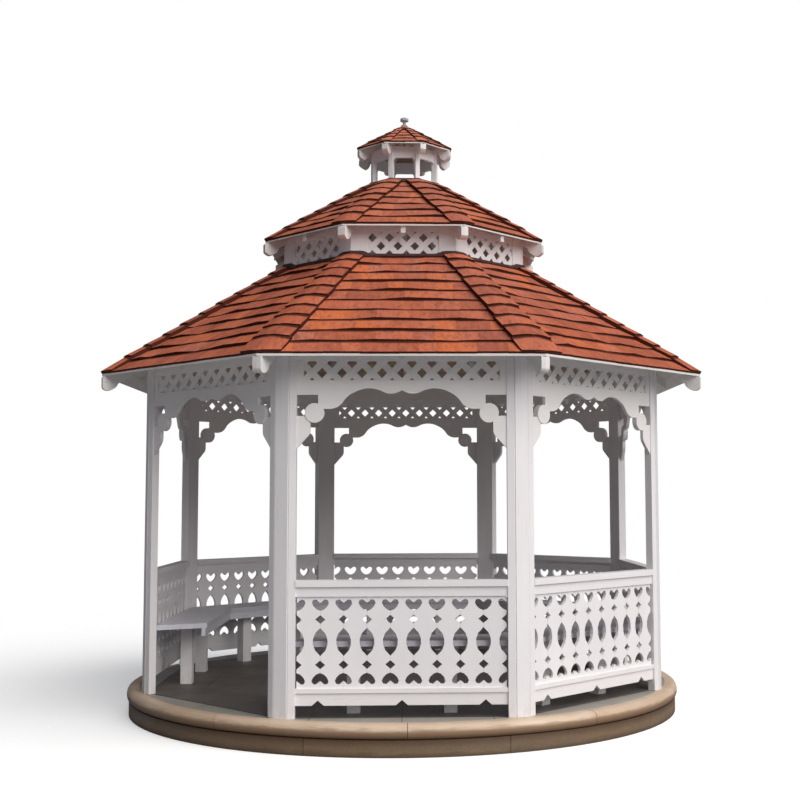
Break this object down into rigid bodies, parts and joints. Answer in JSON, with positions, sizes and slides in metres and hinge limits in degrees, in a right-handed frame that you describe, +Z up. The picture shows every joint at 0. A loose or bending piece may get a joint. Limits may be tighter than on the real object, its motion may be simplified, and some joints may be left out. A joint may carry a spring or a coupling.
{
  "type": "octagonal garden gazebo",
  "caption": "Octagonal white timber garden gazebo with sawn railings, lattice friezes, benches, a tiered shingle roof and a cupola, on a round stone plinth.",
  "frame": {"origin": "centre of the round plinth's underside, at ground level", "axes": "+Z up; -Y towards the front railed bay; the open entrance is the bay between -X and -Y"},
  "size_m": [4.6338, 4.6338, 4.967],
  "materials": {
    "white_paint": "white painted timber",
    "roof_shingle": "weathered red-brown shingles",
    "plinth_stone": "honed tan stone"
  },
  "bodies": {
    "root": {"plinth_base_course": "plinth_stone", "plinth_coping": "plinth_stone", "floor_slab": "plinth_stone", "post_1": "white_paint", "post_2": "white_paint", "post_3": "white_paint", "post_4": "white_paint", "post_5": "white_paint", "post_6": "white_paint", "post_7": "white_paint", "post_8": "white_paint", "railing_1": "white_paint", "railing_2": "white_paint", "railing_3": "white_paint", "railing_4": "white_paint", "railing_5": "white_paint", "railing_6": "white_paint", "railing_7": "white_paint", "frieze_lattice_1": "white_paint", "frieze_lattice_2": "white_paint", "frieze_lattice_3": "white_paint", "frieze_lattice_4": "white_paint", "frieze_lattice_5": "white_paint", "frieze_lattice_6": "white_paint", "frieze_lattice_7": "white_paint", "frieze_lattice_8": "white_paint", "sawn_arch_1": "white_paint", "sawn_arch_2": "white_paint", "sawn_arch_3": "white_paint", "sawn_arch_4": "white_paint", "sawn_arch_5": "white_paint", "sawn_arch_6": "white_paint", "sawn_arch_7": "white_paint", "sawn_arch_8": "white_paint", "bench_seat": "white_paint", "bench_legs": "white_paint", "wall_plates": "white_paint", "main_rafters": "white_paint", "main_roof": "roof_shingle", "clerestory_walls": "white_paint", "upper_rafters": "white_paint", "upper_roof": "roof_shingle", "cupola_frame": "white_paint", "cupola_rafters": "white_paint", "cupola_roof": "roof_shingle", "finial": "white_paint"}
  },
  "joints": []
}
